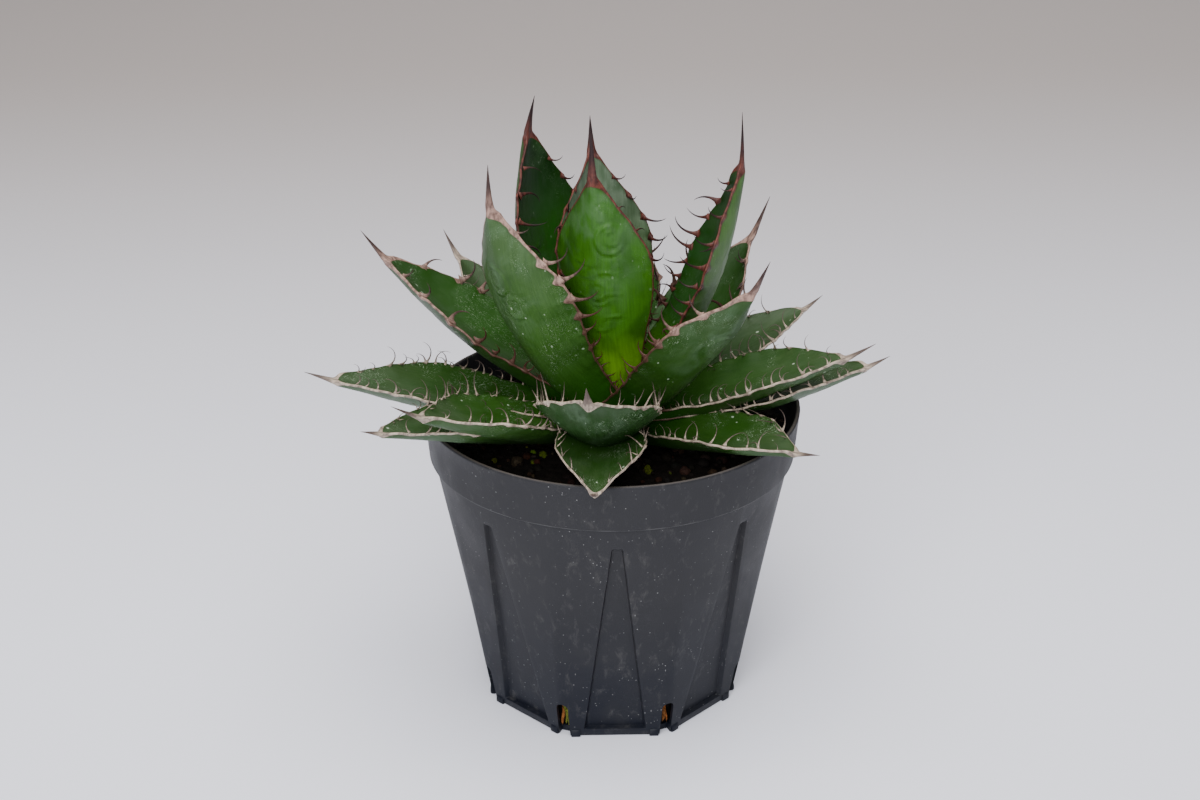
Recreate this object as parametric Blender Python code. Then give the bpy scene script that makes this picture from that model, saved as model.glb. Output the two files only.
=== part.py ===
"""A small agave with toothed leaves, growing in a black plastic slit pot.

The frame: +Z is up, the origin is the middle of the pot's flat underside, and the plant's
front faces -Y. Lengths below are in millimetres and angles in degrees; MM and math.radians
turn them into Blender's units where the meshes are made.

The pot is round at the rim and eight-sided at the base, with a recessed panel on each side and
a drain slit at each corner. The soil fills it to just below the rim. A short stem rises from
the soil, a spear of furled young leaves stands at its top, and the leaves leave it in a spiral.
"""

import math
from collections import namedtuple

import bmesh
import bpy
import numpy as np

MM = 0.001
GAP = 0.35  # clearance between pieces that touch

# The pot
POT_HEIGHT = 88.0
RIM_RADIUS = 52.5
COLLAR_BOTTOM = 74.4
COLLAR_BOTTOM_RADIUS = 51.3
BODY_TOP_RADIUS = 50.2
BASE_CORNER_RADIUS = 37.6  # to the corners of the eight-sided base
SIDES = 8
WALL = 1.2
FLOOR = 1.8
EDGE_ROUND = 0.5

# The recessed panel in the middle of each side: a tall triangle, point up
PANEL_BOTTOM = 2.6
PANEL_TOP = 68.0
PANEL_BOTTOM_WIDTH = 17.5
PANEL_TOP_WIDTH = 3.0
PANEL_DEPTH = 1.4
PANEL_DRAFT = 0.7  # how far the panel's side walls slope inwards
PANEL_ROWS = (0.36, 0.68)  # rings between the panel's ends, as shares of its top's height

# The collar's lower edge: how far the step reaches above and below, and how round it is
COLLAR_STEP = 0.6
COLLAR_ROUND = 0.3
COLLAR_INSIDE_DROP = 1.6  # how far the inner wall's step lies below the outer one

# The drain slit at each corner of the base, and the foot on each side of it
SLIT_WIDTH = 3.4
SLIT_HEIGHT = 11.5
SLIT_INTO_FLOOR = 3.0
SLIT_PAST_WALL = 6.0  # how far the cutter starts outside the wall
SLIT_TOP_STEPS = 6
FOOT_WIDTH = 2.6
FOOT_HEIGHT = 2.4
FOOT_STANDS_OUT = 0.8
FOOT_SLOPE_FROM = 1.44  # above this height its face slopes back
FOOT_TOP_STANDS_OUT = 0.25
FOOT_ROOT = -2.0  # how far a foot reaches back into the wall
FOOT_FROM_SLIT = 0.37  # the plastic left between a slit and its foot's near side

# The soil
SOIL_TOP = 78.0
SOIL_BUMP = 0.42
SOIL_EDGE_DROP = 1.5  # the surface falls by this much at the wall
SOIL_LEVEL_MIDDLE = 14.0  # the surface is level within this radius of the stem
SOIL_SIDES = 48
SOIL_RINGS = (0.985, 0.8, 0.6, 0.4, 0.2)  # of the soil's radius

# The stem: radius and height from the buried end to the growing point
STEM_PROFILE = (
    (3.0, 60.0),
    (7.0, 66.0),
    (9.5, 74.0),
    (11.5, 79.0),
    (12.0, 82.0),
    (11.0, 85.5),
    (9.0, 88.5),
    (7.0, 91.0),
    (5.0, 93.5),
    (3.0, 96.0),
    (1.5, 97.5),
)
STEM_SIDES = 20

# The spear of furled young leaves
SPEAR_FOOT = 98.0
SPEAR_HEIGHT = 44.0
SPEAR_RADIUS = 4.2
SPEAR_LEAN = 2.0
SPEAR_PROFILE = (0.75, 0.9, -1.6)  # its radius is the sum of these times 1, up and up squared
SPEAR_BLUNT = 0.35  # added at the foot, and none at the tip
SPEAR_RINGS = 9
SPEAR_SIDES = 12

# The leaves. Each is placed by its direction round the stem, its rise above the horizontal at
# the foot and at the tip, its blade and end spine lengths, its width, its roll about its own
# midrib, and the radius and height of its foot on the stem. They run from the heart outwards.
Leaf = namedtuple("Leaf", "name turn rise_foot rise_tip blade spine width roll foot_radius foot_height")
LEAVES = (
    Leaf("leaf_01", 245, 78, 84, 61, 16, 28, 0, 3.0, 96),
    Leaf("leaf_02", 110, 78, 80, 60, 12, 28, 0, 3.0, 96),
    Leaf("leaf_03", 145, 50, 94, 72, 13, 33, 0, 5.0, 93),
    Leaf("leaf_04", 355, 50, 84, 71, 17, 27, 5, 6.0, 92),
    Leaf("leaf_05", 208, 46, 82, 67, 14, 30, 22, 7.0, 91),
    Leaf("leaf_06", 315, 38, 57, 60, 13, 28, -8, 8.0, 90),
    Leaf("leaf_07", 85, 25, 34, 58, 12, 24, 0, 8.0, 89),
    Leaf("leaf_08", 168, 24, 44, 66, 12, 28, 0, 8.0, 89),
    Leaf("leaf_09", 38, 26, 52, 55, 15, 25, 0, 8.0, 89),
    Leaf("leaf_10", 262, 11, 49, 52, 9, 33, 0, 10.0, 87),
    Leaf("leaf_11", 135, 12, 42, 58, 11, 25, 0, 9.0, 88),
    Leaf("leaf_12", 352, 12, 26, 56, 11, 28, 0, 10.0, 86),
    Leaf("leaf_13", 102, 14, 20, 56, 9, 25, 0, 10.0, 87),
    Leaf("leaf_14", 220, 10, 28, 58, 13, 28, 0, 10.0, 85),
    Leaf("leaf_15", 58, 8, 10, 55, 9, 24, 0, 11.0, 86),
    Leaf("leaf_16", 33, 9, 18, 58, 9, 22, 0, 11.0, 86),
    Leaf("leaf_17", 185, 9, 16, 66, 10, 27, 0, 11.0, 84.3),
    Leaf("leaf_18", 317, 11, 11, 52, 9, 24, 0, 12.0, 83.2),
    Leaf("leaf_19", 264, 20, -4, 50, 2, 24, 0, 12.0, 84.2),
    Leaf("leaf_20", 357, 8, 23, 60, 8, 25, 0, 12.0, 83.5),
    Leaf("leaf_21", 80, 11, 14, 58, 8, 25, 0, 12.0, 83.5),
    Leaf("leaf_22", 211, 12, 15, 61, 7, 24, 0, 12.0, 82.9),
)

# How a leaf's outline and thickness change from foot (0) to the end of the blade (1)
WIDTH_AT = (
    (0, 0.62),
    (0.2, 0.76),
    (0.38, 0.93),
    (0.55, 1.0),
    (0.67, 0.95),
    (0.8, 0.69),
    (0.91, 0.38),
    (1, 0.15),
)
THICKNESS_AT = ((0, 1.0), (0.2, 0.95), (0.5, 0.7), (0.75, 0.52), (0.9, 0.42), (1, 0.4))
LEAF_THICKNESS = 0.18  # of the leaf's width, at the foot
CHANNEL = 0.34  # how far the margins rise, of the half width
CHANNEL_CURVE = 1.7  # the power by which they rise from the midrib
UNDERSIDE_WIDTH = 0.97  # of the upper face's
MARGIN = 0.7  # thickness along the margin
ACROSS = (1.0, 0.5, 0.0, -0.5, -1.0)  # places across the leaf, of the half width
BLADE_STATIONS = 11
SPINE_STATIONS = 3
SPINE_END = 0.97  # the spine is cut this far along, so that its point isn't infinitely thin
PATH_STATIONS = 161
CURVE_ENDS = 1.15  # a leaf stops curving this far along, in blade lengths
HIDDEN_FOOT = 4.0  # how far the leaf starts inside the stem
ROOM_PAST_TIP = 0.12  # how much longer a leaf's room is, in steps between its last stations
HEART_LEAVES = 4  # how many of the innermost leaves have the heart's lighter green

GREEN = (0.075, 0.150, 0.045)
HEART_GREEN = (0.130, 0.260, 0.060)


def clear_scene():
    for obj in list(bpy.data.objects):
        bpy.data.objects.remove(obj)


def make_material(name, colour, roughness):
    material = bpy.data.materials.new(name)
    material.use_nodes = True
    shader = material.node_tree.nodes["Principled BSDF"]
    shader.inputs["Base Color"].default_value = (*colour, 1.0)
    shader.inputs["Roughness"].default_value = roughness
    shader.inputs["Metallic"].default_value = 0.0
    material.diffuse_color = (*colour, 1.0)
    return material


def make_object(name, rings, material, hidden=False):
    """A closed object from rings of points in millimetres, each ring joined to the next."""
    bm = bmesh.new()
    made = [[bm.verts.new([c * MM for c in point]) for point in ring] for ring in rings]
    count = len(rings[0])
    for low, high in zip(made, made[1:]):
        for i in range(count):
            j = (i + 1) % count
            bm.faces.new((low[i], low[j], high[j], high[i]))
    bm.faces.new(made[0][::-1])
    bm.faces.new(made[-1])
    bmesh.ops.recalc_face_normals(bm, faces=bm.faces)
    if bm.calc_volume(signed=True) < 0:
        bmesh.ops.reverse_faces(bm, faces=bm.faces)
    mesh = bpy.data.meshes.new(name)
    bm.to_mesh(mesh)
    bm.free()
    mesh.materials.append(material)
    obj = bpy.data.objects.new(name, mesh)
    bpy.context.scene.collection.objects.link(obj)
    obj.hide_render = hidden
    if hidden:
        obj.display_type = "WIRE"
    return obj


def combine(obj, others, operation):
    """Cuts the other objects from obj, or joins them to it, and removes them."""
    group = bpy.data.collections.new("operands")
    for other in others:
        group.objects.link(other)
    modifier = obj.modifiers.new("combine", "BOOLEAN")
    modifier.operation = operation
    modifier.solver = "EXACT"
    modifier.operand_type = "COLLECTION"
    modifier.collection = group
    graph = bpy.context.evaluated_depsgraph_get()
    result = bpy.data.meshes.new_from_object(obj.evaluated_get(graph))
    obj.modifiers.clear()
    old = obj.data
    obj.data = result
    bpy.data.meshes.remove(old)
    result.name = obj.name
    for other in others:
        bpy.data.objects.remove(other)
    bpy.data.collections.remove(group)


def keep_largest_piece(obj):
    """Drops the crumbs that a cut leaves beside the main piece."""
    bm = bmesh.new()
    bm.from_mesh(obj.data)
    unseen = set(bm.faces)
    pieces = []
    while unseen:
        stack = [unseen.pop()]
        piece = []
        while stack:
            face = stack.pop()
            piece.append(face)
            for edge in face.edges:
                near = [other for other in edge.link_faces if other in unseen]
                unseen.difference_update(near)
                stack.extend(near)
        pieces.append(piece)
    pieces.sort(key=lambda piece: sum(face.calc_area() for face in piece))
    for crumb in pieces[:-1]:
        bmesh.ops.delete(bm, geom=crumb, context="FACES")
    loose = [vert for vert in bm.verts if not vert.link_faces]
    bmesh.ops.delete(bm, geom=loose, context="VERTS")
    bm.to_mesh(obj.data)
    bm.free()


def shade(obj, angle=40.0):
    obj.data.shade_smooth()
    obj.data.set_sharp_from_angle(angle=math.radians(angle))


def smooth_through(knots, at):
    """A smooth curve through (place, value) knots, which doesn't overshoot between them."""
    places, values = (np.array(column, float) for column in zip(*knots))
    steps = np.diff(places)
    slopes = np.diff(values) / steps
    inner = np.where(slopes[1:] * slopes[:-1] > 0, (slopes[1:] + slopes[:-1]) / 2, 0.0)
    limit = 3 * np.minimum(abs(slopes[1:]), abs(slopes[:-1]))
    inner = np.clip(inner, -limit, limit)
    tangents = np.concatenate([[slopes[0]], inner, [slopes[-1]]])
    at = np.clip(at, places[0], places[-1])
    i = np.clip(np.searchsorted(places, at, side="right") - 1, 0, len(steps) - 1)
    u = (at - places[i]) / steps[i]
    first = values[i] * (1 + 2 * u) * (1 - u) ** 2 + steps[i] * tangents[i] * u * (1 - u) ** 2
    return first + values[i + 1] * u**2 * (3 - 2 * u) + steps[i] * tangents[i + 1] * u**2 * (u - 1)


# Pot ------------------------------------------------------------------------------------------


def corner_angle(k):
    return 2 * math.pi * (k + 0.5) / SIDES


def body_radius(angle, height):
    """The outer wall below the collar: eight straight sides at the base, a circle at the top."""
    half = math.pi / SIDES
    off_middle = (angle + half) % (2 * half) - half
    base = BASE_CORNER_RADIUS * math.cos(half) / math.cos(off_middle)
    up = min(height / COLLAR_BOTTOM, 1.0)
    return base * (1 - up) + BODY_TOP_RADIUS * up


def panel_half_angle(height, sunk):
    """Half the angle that a panel covers at this height, at its edge or at its sunk floor."""
    up = (min(max(height, PANEL_BOTTOM), PANEL_TOP) - PANEL_BOTTOM) / (PANEL_TOP - PANEL_BOTTOM)
    width = PANEL_BOTTOM_WIDTH * (1 - up) + PANEL_TOP_WIDTH * up
    half_width = width / 2 - (PANEL_DRAFT if sunk else 0.0)
    return math.atan2(half_width, body_radius(0.0, height))


def wall_ring(height, inset=0.0, collar_radius=None, panel=1.0):
    """One ring of the pot's wall, side by side, with each panel sunk by panel times its depth."""
    ring = []
    half = math.pi / SIDES
    for k in range(SIDES):
        middle = 2 * half * k
        edge = panel_half_angle(height, False)
        floor = panel_half_angle(height, True)
        between = (half + edge) / 2
        columns = [(-half, 0), (-between, 0), (-edge, 0), (-floor, 1)]
        columns += [(0.0, 1), (floor, 1), (edge, 0), (between, 0)]
        for turn, sunk in columns:
            radius = collar_radius or body_radius(middle + turn, height)
            radius -= inset + sunk * panel * PANEL_DEPTH
            angle = middle + turn
            ring.append((radius * math.cos(angle), radius * math.sin(angle), height))
    return ring


def pot_rings():
    """The pot's section from its underside up the outside, over the rim and down the inside."""
    rings = [
        wall_ring(0.0, inset=EDGE_ROUND, panel=0),
        wall_ring(EDGE_ROUND, panel=0),
        wall_ring(PANEL_BOTTOM, panel=0),
        wall_ring(PANEL_BOTTOM + PANEL_DRAFT),
        wall_ring(PANEL_TOP * PANEL_ROWS[0]),
        wall_ring(PANEL_TOP * PANEL_ROWS[1]),
        wall_ring(PANEL_TOP - PANEL_DRAFT),
        wall_ring(PANEL_TOP, panel=0),
        wall_ring(COLLAR_BOTTOM - COLLAR_STEP, panel=0),
        wall_ring(COLLAR_BOTTOM, collar_radius=COLLAR_BOTTOM_RADIUS - COLLAR_ROUND, panel=0),
        wall_ring(COLLAR_BOTTOM + COLLAR_STEP, collar_radius=COLLAR_BOTTOM_RADIUS, panel=0),
        wall_ring(POT_HEIGHT - EDGE_ROUND, collar_radius=RIM_RADIUS, panel=0),
        wall_ring(POT_HEIGHT, collar_radius=RIM_RADIUS - EDGE_ROUND, panel=0),
        wall_ring(POT_HEIGHT, collar_radius=RIM_RADIUS - WALL, panel=0),
        wall_ring(COLLAR_BOTTOM + COLLAR_STEP, collar_radius=COLLAR_BOTTOM_RADIUS - WALL, panel=0),
        wall_ring(COLLAR_BOTTOM - COLLAR_INSIDE_DROP, inset=WALL, panel=0),
        wall_ring(PANEL_TOP, inset=WALL, panel=0),
        wall_ring(PANEL_TOP - PANEL_DRAFT, inset=WALL),
        wall_ring(PANEL_TOP * PANEL_ROWS[1], inset=WALL),
        wall_ring(PANEL_TOP * PANEL_ROWS[0], inset=WALL),
        wall_ring(PANEL_BOTTOM + PANEL_DRAFT, inset=WALL),
        wall_ring(FLOOR, inset=WALL, panel=0),
    ]
    return rings


def slit_cutter(k, plastic):
    """A round-topped slot through one corner, which also opens the floor's edge."""
    angle = corner_angle(k)
    outward = np.array([math.cos(angle), math.sin(angle), 0.0])
    across = np.array([-math.sin(angle), math.cos(angle), 0.0])
    half = SLIT_WIDTH / 2
    arch = [math.pi * i / SLIT_TOP_STEPS for i in range(SLIT_TOP_STEPS + 1)]
    outline = [(half, -1.0)]
    outline += [(half * math.cos(a), SLIT_HEIGHT - half + half * math.sin(a)) for a in arch]
    outline += [(-half, -1.0)]
    rings = []
    for reach in (BASE_CORNER_RADIUS - SLIT_INTO_FLOOR, BASE_CORNER_RADIUS + SLIT_PAST_WALL):
        rings.append([outward * reach + across * x + np.array([0, 0, z]) for x, z in outline])
    return make_object(f"slit_cutter_{k}", rings, plastic, hidden=True)


def foot_block(k, side, plastic):
    """A small foot beside a slit, standing a little out of the base's corner."""
    corner = corner_angle(k)
    to_next = corner + side * (math.pi / 2 + math.pi / SIDES)
    along = np.array([math.cos(to_next), math.sin(to_next), 0.0])
    outward = side * np.array([math.sin(to_next), -math.cos(to_next), 0.0])
    tip = BASE_CORNER_RADIUS * np.array([math.cos(corner), math.sin(corner), 0.0])
    near = SLIT_WIDTH / 2 + FOOT_FROM_SLIT
    far = near + FOOT_WIDTH
    profile = (
        (0.0, FOOT_STANDS_OUT),
        (FOOT_SLOPE_FROM, FOOT_STANDS_OUT),
        (FOOT_HEIGHT, FOOT_TOP_STANDS_OUT),
    )
    rings = []
    for height, out in profile:
        corners = ((near, FOOT_ROOT), (far, FOOT_ROOT), (far, out), (near, out))
        rings.append([tip + along * a + outward * b + np.array([0, 0, height]) for a, b in corners])
    return make_object(f"foot_{k}_{side}", rings, plastic, hidden=True)


def make_pot(plastic):
    pot = make_object("pot", pot_rings(), plastic)
    feet = [foot_block(k, side, plastic) for k in range(SIDES) for side in (-1, 1)]
    combine(pot, feet, "UNION")
    combine(pot, [slit_cutter(k, plastic) for k in range(SIDES)], "DIFFERENCE")
    shade(pot, 25.0)
    return pot


# Soil and stem --------------------------------------------------------------------------------


def soil_height(x, y):
    """A gently uneven surface, which never rises above its nominal height near the stem."""
    wave = math.sin(x * 0.21 + 1.0) * math.cos(y * 0.17) + 0.6 * math.sin(x * 0.37 - y * 0.29)
    calm = min(1.0, max(0.0, math.hypot(x, y) / SOIL_LEVEL_MIDDLE - 1.0))
    return SOIL_TOP + SOIL_BUMP * calm * wave


def soil_side(height):
    inset = WALL + PANEL_DEPTH + GAP
    ring = []
    for i in range(SOIL_SIDES):
        angle = 2 * math.pi * i / SOIL_SIDES
        radius = body_radius(angle, height) - inset
        if height > COLLAR_BOTTOM:
            radius = COLLAR_BOTTOM_RADIUS - WALL - GAP
        ring.append((radius * math.cos(angle), radius * math.sin(angle), height))
    return ring


def make_soil(earth):
    below_collar = COLLAR_BOTTOM - COLLAR_INSIDE_DROP - GAP
    heights = (FLOOR + GAP, below_collar / 2, below_collar, SOIL_TOP - SOIL_EDGE_DROP)
    rings = [soil_side(height) for height in heights]
    outer = rings[-1]
    for share in SOIL_RINGS:
        ring = []
        for x, y, _ in outer:
            ring.append((x * share, y * share, soil_height(x * share, y * share)))
        rings.append(ring)
    soil = make_object("soil", rings, earth)
    combine(soil, [make_stem(earth, grow=GAP, name="stem_room")], "DIFFERENCE")
    shade(soil)
    return soil


def make_stem(bark, grow=0.0, name="stem"):
    """The turned stem. With grow it is a cutter, larger all round by that much."""
    profile = [(radius + grow, height) for radius, height in STEM_PROFILE]
    profile[0] = (profile[0][0], profile[0][1] - grow)
    profile[-1] = (profile[-1][0], profile[-1][1] + grow)
    rings = []
    for radius, height in profile:
        turns = [2 * math.pi * i / STEM_SIDES for i in range(STEM_SIDES)]
        rings.append([(radius * math.cos(a), radius * math.sin(a), height) for a in turns])
    stem = make_object(name, rings, bark, hidden=grow > 0)
    shade(stem)
    return stem


# Leaves ---------------------------------------------------------------------------------------


def leaf_frames(leaf, along):
    """Midrib points, and the directions across and up, at distances along the leaf."""
    fine = np.linspace(-HIDDEN_FOOT, leaf.blade + leaf.spine, PATH_STATIONS)
    share = np.clip(fine / leaf.blade, 0.0, CURVE_ENDS)
    rise = np.radians(leaf.rise_foot + (leaf.rise_tip - leaf.rise_foot) * share)
    turn = math.radians(leaf.turn)
    out = np.array([math.cos(turn), math.sin(turn), 0.0])
    heading = np.outer(np.cos(rise), out) + np.outer(np.sin(rise), (0, 0, 1))
    steps = (heading[1:] + heading[:-1]) / 2 * np.diff(fine)[:, None]
    path = np.vstack([np.zeros(3), np.cumsum(steps, axis=0)])
    zero = [np.interp(0.0, fine, path[:, axis]) for axis in range(3)]
    path += out * leaf.foot_radius + np.array([0, 0, leaf.foot_height]) - np.array(zero)
    middle = np.stack([np.interp(along, fine, path[:, axis]) for axis in range(3)], 1)
    heading = np.stack([np.interp(along, fine, heading[:, axis]) for axis in range(3)], 1)
    across = np.array([-math.sin(turn), math.cos(turn), 0.0])
    up = np.cross(heading, across)
    roll = math.radians(leaf.roll)
    rolled_across = math.cos(roll) * across + math.sin(roll) * up
    return middle, rolled_across, math.cos(roll) * up - math.sin(roll) * across


def leaf_rings(leaf, grow=0.0):
    """Sections of the leaf: a channelled upper face, thin margins and a rounded underside."""
    blade = np.linspace(-HIDDEN_FOOT, leaf.blade, BLADE_STATIONS)
    spine = leaf.blade + leaf.spine * np.linspace(0, SPINE_END, SPINE_STATIONS + 1)[1:]
    along = np.concatenate([blade, spine])
    middle, across, up = leaf_frames(leaf, along)
    share = along / leaf.blade
    past = np.clip((along - leaf.blade) / leaf.spine, 0.0, 1.0)
    half = smooth_through(WIDTH_AT, share) * leaf.width / 2 * (1 - past)
    thick = smooth_through(THICKNESS_AT, share) * leaf.width * LEAF_THICKNESS * (1 - past)
    lift = CHANNEL * half * np.clip(1 - 4 * past, 0.0, 1.0)
    rings = []
    for i in range(len(along)):
        margin = min(MARGIN, thick[i] / 2)
        ring = []
        for place in ACROSS:
            y = lift[i] * abs(place) ** CHANNEL_CURVE + grow
            ring.append((place * (half[i] + grow), y))
        for place in ACROSS[::-1]:
            depth = margin + (thick[i] - margin) * (1 - place**2)
            y = lift[i] * abs(place) ** CHANNEL_CURVE - depth - grow
            ring.append((place * (half[i] * UNDERSIDE_WIDTH + grow), y))
        rings.append([middle[i] + across[i] * x + up[i] * y for x, y in ring])
    if grow:
        past_tip = (middle[-1] - middle[-2]) * ROOM_PAST_TIP
        rings[-1] = [point + past_tip for point in rings[-1]]
    return rings


def make_spear(green, grow=0.0, name="heart_spear"):
    """The furled young leaves at the heart, drawn out to a point."""
    foot, swell, draw_in = SPEAR_PROFILE
    rings = []
    for up in np.linspace(0, 1, SPEAR_RINGS):
        radius = SPEAR_RADIUS * (foot + swell * up + draw_in * up**2) + SPEAR_BLUNT * (1 - up) + grow
        height = SPEAR_FOOT + SPEAR_HEIGHT * up + grow * (2 * up - 1)
        lean = SPEAR_LEAN * up
        turns = [2 * math.pi * i / SPEAR_SIDES for i in range(SPEAR_SIDES)]
        rings.append([(radius * math.cos(a), radius * math.sin(a) + lean, height) for a in turns])
    spear = make_object(name, rings, green, hidden=grow > 0)
    shade(spear)
    return spear


def touches(rings, other):
    """Whether the boxes round two sets of rings meet."""
    a = np.array(rings).reshape(-1, 3)
    b = np.array(other).reshape(-1, 3)
    return bool(((a.min(0) < b.max(0)) & (b.min(0) < a.max(0))).all())


def make_leaves(greens, bark):
    """Each leaf is fitted round the stem, the spear and every leaf nearer the heart."""
    for order, leaf in enumerate(LEAVES):
        rings = leaf_rings(leaf)
        blade = make_object(leaf.name, rings, greens[order >= HEART_LEAVES])
        cutters = [make_stem(bark, grow=GAP, name="stem_room")]
        cutters.append(make_spear(bark, grow=GAP, name="spear_room"))
        for inner in LEAVES[:order]:
            room = leaf_rings(inner, grow=GAP)
            if touches(rings, room):
                cutters.append(make_object(f"{inner.name}_room", room, bark, hidden=True))
        combine(blade, cutters, "DIFFERENCE")
        keep_largest_piece(blade)
        shade(blade, 60.0)


def main():
    clear_scene()
    plastic = make_material("pot_plastic", (0.030, 0.032, 0.036), 0.62)
    earth = make_material("soil_mix", (0.060, 0.040, 0.025), 0.95)
    bark = make_material("stem_core", (0.200, 0.170, 0.080), 0.80)
    greens = (make_material("leaf_heart", HEART_GREEN, 0.45), make_material("leaf_green", GREEN, 0.50))
    make_pot(plastic)
    make_soil(earth)
    make_stem(bark)
    make_spear(greens[0])
    make_leaves(greens, bark)


main()
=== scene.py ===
"""The looks of the potted agave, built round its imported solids.

Lengths are in millimetres and angles in degrees, in the solids' own frame: +Z up, the origin in
the middle of the pot's underside, the plant's front towards -Y. They become Blender's metres and
radians where a mesh, a light or the camera is made.

Every leaf is one skin: blade, spine and the teeth along its margins. Its points carry where they
lie on the leaf, how deep they lie in the horny border, and their green, which the leaf materials
read.
"""

import math
import random
from collections import namedtuple

import bmesh
import bpy
import numpy as np
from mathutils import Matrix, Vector, noise


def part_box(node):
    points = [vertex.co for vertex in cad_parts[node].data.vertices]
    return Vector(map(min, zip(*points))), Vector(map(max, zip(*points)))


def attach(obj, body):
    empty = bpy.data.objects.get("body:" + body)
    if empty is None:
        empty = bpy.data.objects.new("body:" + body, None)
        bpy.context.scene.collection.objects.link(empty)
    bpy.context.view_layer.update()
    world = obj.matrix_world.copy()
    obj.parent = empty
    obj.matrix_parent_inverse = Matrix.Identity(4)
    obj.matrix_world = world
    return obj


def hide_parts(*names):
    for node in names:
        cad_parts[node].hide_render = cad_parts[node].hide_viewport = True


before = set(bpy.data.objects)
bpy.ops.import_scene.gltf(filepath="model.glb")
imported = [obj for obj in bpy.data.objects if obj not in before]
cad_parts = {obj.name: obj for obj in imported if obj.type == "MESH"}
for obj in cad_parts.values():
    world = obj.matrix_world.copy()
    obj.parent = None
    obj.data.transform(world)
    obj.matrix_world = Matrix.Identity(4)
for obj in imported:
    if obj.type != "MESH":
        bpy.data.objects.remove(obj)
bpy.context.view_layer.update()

MM = 0.001
GAP = 0.35  # the clearance between pieces that touch

# The pot, as in the solids
POT_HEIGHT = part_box("pot")[1].z / MM
RIM_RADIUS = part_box("pot")[1].x / MM
COLLAR_BOTTOM = 74.4
COLLAR_BOTTOM_RADIUS = 51.3
BODY_TOP_RADIUS = 50.2
BASE_CORNER_RADIUS = 37.6
SIDES = 8
WALL = 1.2
FLOOR = 1.8
EDGE_ROUND = 0.5
COLLAR_INSIDE_DROP = 1.6  # how far the inner wall's step lies below the outer one
COLLAR_INSIDE_RISE = 0.6  # and how far it reaches above it
PANEL_BOTTOM = 2.6
PANEL_TOP = 68.0
PANEL_BOTTOM_WIDTH = 17.5
PANEL_TOP_WIDTH = 3.0
PANEL_DEPTH = 1.4
PANEL_DRAFT = 0.4
SLIT_WIDTH = 3.4
SLIT_HEIGHT = 11.5
SLIT_INTO_FLOOR = 3.0
SLIT_PAST_WALL = 6.0
SLIT_BELOW_BASE = 1.0
FOOT_FROM_SLIT = 0.37
FOOT_ROOT = -2.0
FOOT_WIDTH = 2.6
FOOT_HEIGHT = 2.4
FOOT_STANDS_OUT = 0.8
SHARP_FROM = 32
SOIL_TOP = 78.0
SOIL_EDGE_DROP = 1.5

# The stem and the spear of young leaves, as in the solids
STEM_PROFILE = (
    (60.0, 3.0), (66.0, 7.0), (74.0, 9.5), (79.0, 11.5), (82.0, 12.0), (85.5, 11.0),
    (88.5, 9.0), (91.0, 7.0), (93.5, 5.0), (96.0, 3.0), (97.5, 1.5),
)
SPEAR_FOOT = 98.0
SPEAR_HEIGHT = 44.0
SPEAR_RADIUS = 4.2
SPEAR_LEAN = 2.0
SPEAR_PROFILE = (0.75, 0.9, -1.6)  # its radius is the sum of these times 1, up and up squared

# The leaves, as in the solids, from the heart outwards
Leaf = namedtuple(
    "Leaf",
    "name turn rise_foot rise_tip blade spine width roll foot_radius foot_height",
)
LEAVES = (
    Leaf("leaf_01", 245, 78, 84, 61, 16, 28, 0, 3.0, 96),
    Leaf("leaf_02", 110, 78, 80, 60, 12, 28, 0, 3.0, 96),
    Leaf("leaf_03", 145, 50, 94, 72, 13, 33, 0, 5.0, 93),
    Leaf("leaf_04", 355, 50, 84, 71, 17, 27, 5, 6.0, 92),
    Leaf("leaf_05", 208, 46, 82, 67, 14, 30, 22, 7.0, 91),
    Leaf("leaf_06", 315, 38, 57, 60, 13, 28, -8, 8.0, 90),
    Leaf("leaf_07", 85, 25, 34, 58, 12, 24, 0, 8.0, 89),
    Leaf("leaf_08", 168, 24, 44, 66, 12, 28, 0, 8.0, 89),
    Leaf("leaf_09", 38, 26, 52, 55, 15, 25, 0, 8.0, 89),
    Leaf("leaf_10", 262, 11, 49, 52, 9, 33, 0, 10.0, 87),
    Leaf("leaf_11", 135, 12, 42, 58, 11, 25, 0, 9.0, 88),
    Leaf("leaf_12", 352, 12, 26, 56, 11, 28, 0, 10.0, 86),
    Leaf("leaf_13", 102, 14, 20, 56, 9, 25, 0, 10.0, 87),
    Leaf("leaf_14", 220, 10, 28, 58, 13, 28, 0, 10.0, 85),
    Leaf("leaf_15", 58, 8, 10, 55, 9, 24, 0, 11.0, 86),
    Leaf("leaf_16", 33, 9, 18, 58, 9, 22, 0, 11.0, 86),
    Leaf("leaf_17", 185, 9, 16, 66, 10, 27, 0, 11.0, 84.3),
    Leaf("leaf_18", 317, 11, 11, 52, 9, 24, 0, 12.0, 83.2),
    Leaf("leaf_19", 264, 20, -4, 50, 2, 24, 0, 12.0, 84.2),
    Leaf("leaf_20", 357, 8, 23, 60, 8, 25, 0, 12.0, 83.5),
    Leaf("leaf_21", 80, 11, 14, 58, 8, 25, 0, 12.0, 83.5),
    Leaf("leaf_22", 211, 12, 15, 61, 7, 24, 0, 12.0, 82.9),
)
WIDTH_AT = (
    (0, 0.62), (0.2, 0.76), (0.38, 0.93), (0.55, 1.0), (0.67, 0.95), (0.8, 0.69), (0.91, 0.38),
    (1, 0.15),
)
THICKNESS_AT = ((0, 1.0), (0.2, 0.95), (0.5, 0.7), (0.75, 0.52), (0.9, 0.42), (1, 0.4))
LEAF_THICKNESS = 0.18
CHANNEL = 0.34
CHANNEL_CURVE = 1.7
MARGIN = 0.7
HIDDEN_FOOT = 4.0
SPINE_END = 0.965
SPINE_STATIONS = 36
PATH_STATIONS = 161
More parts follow.
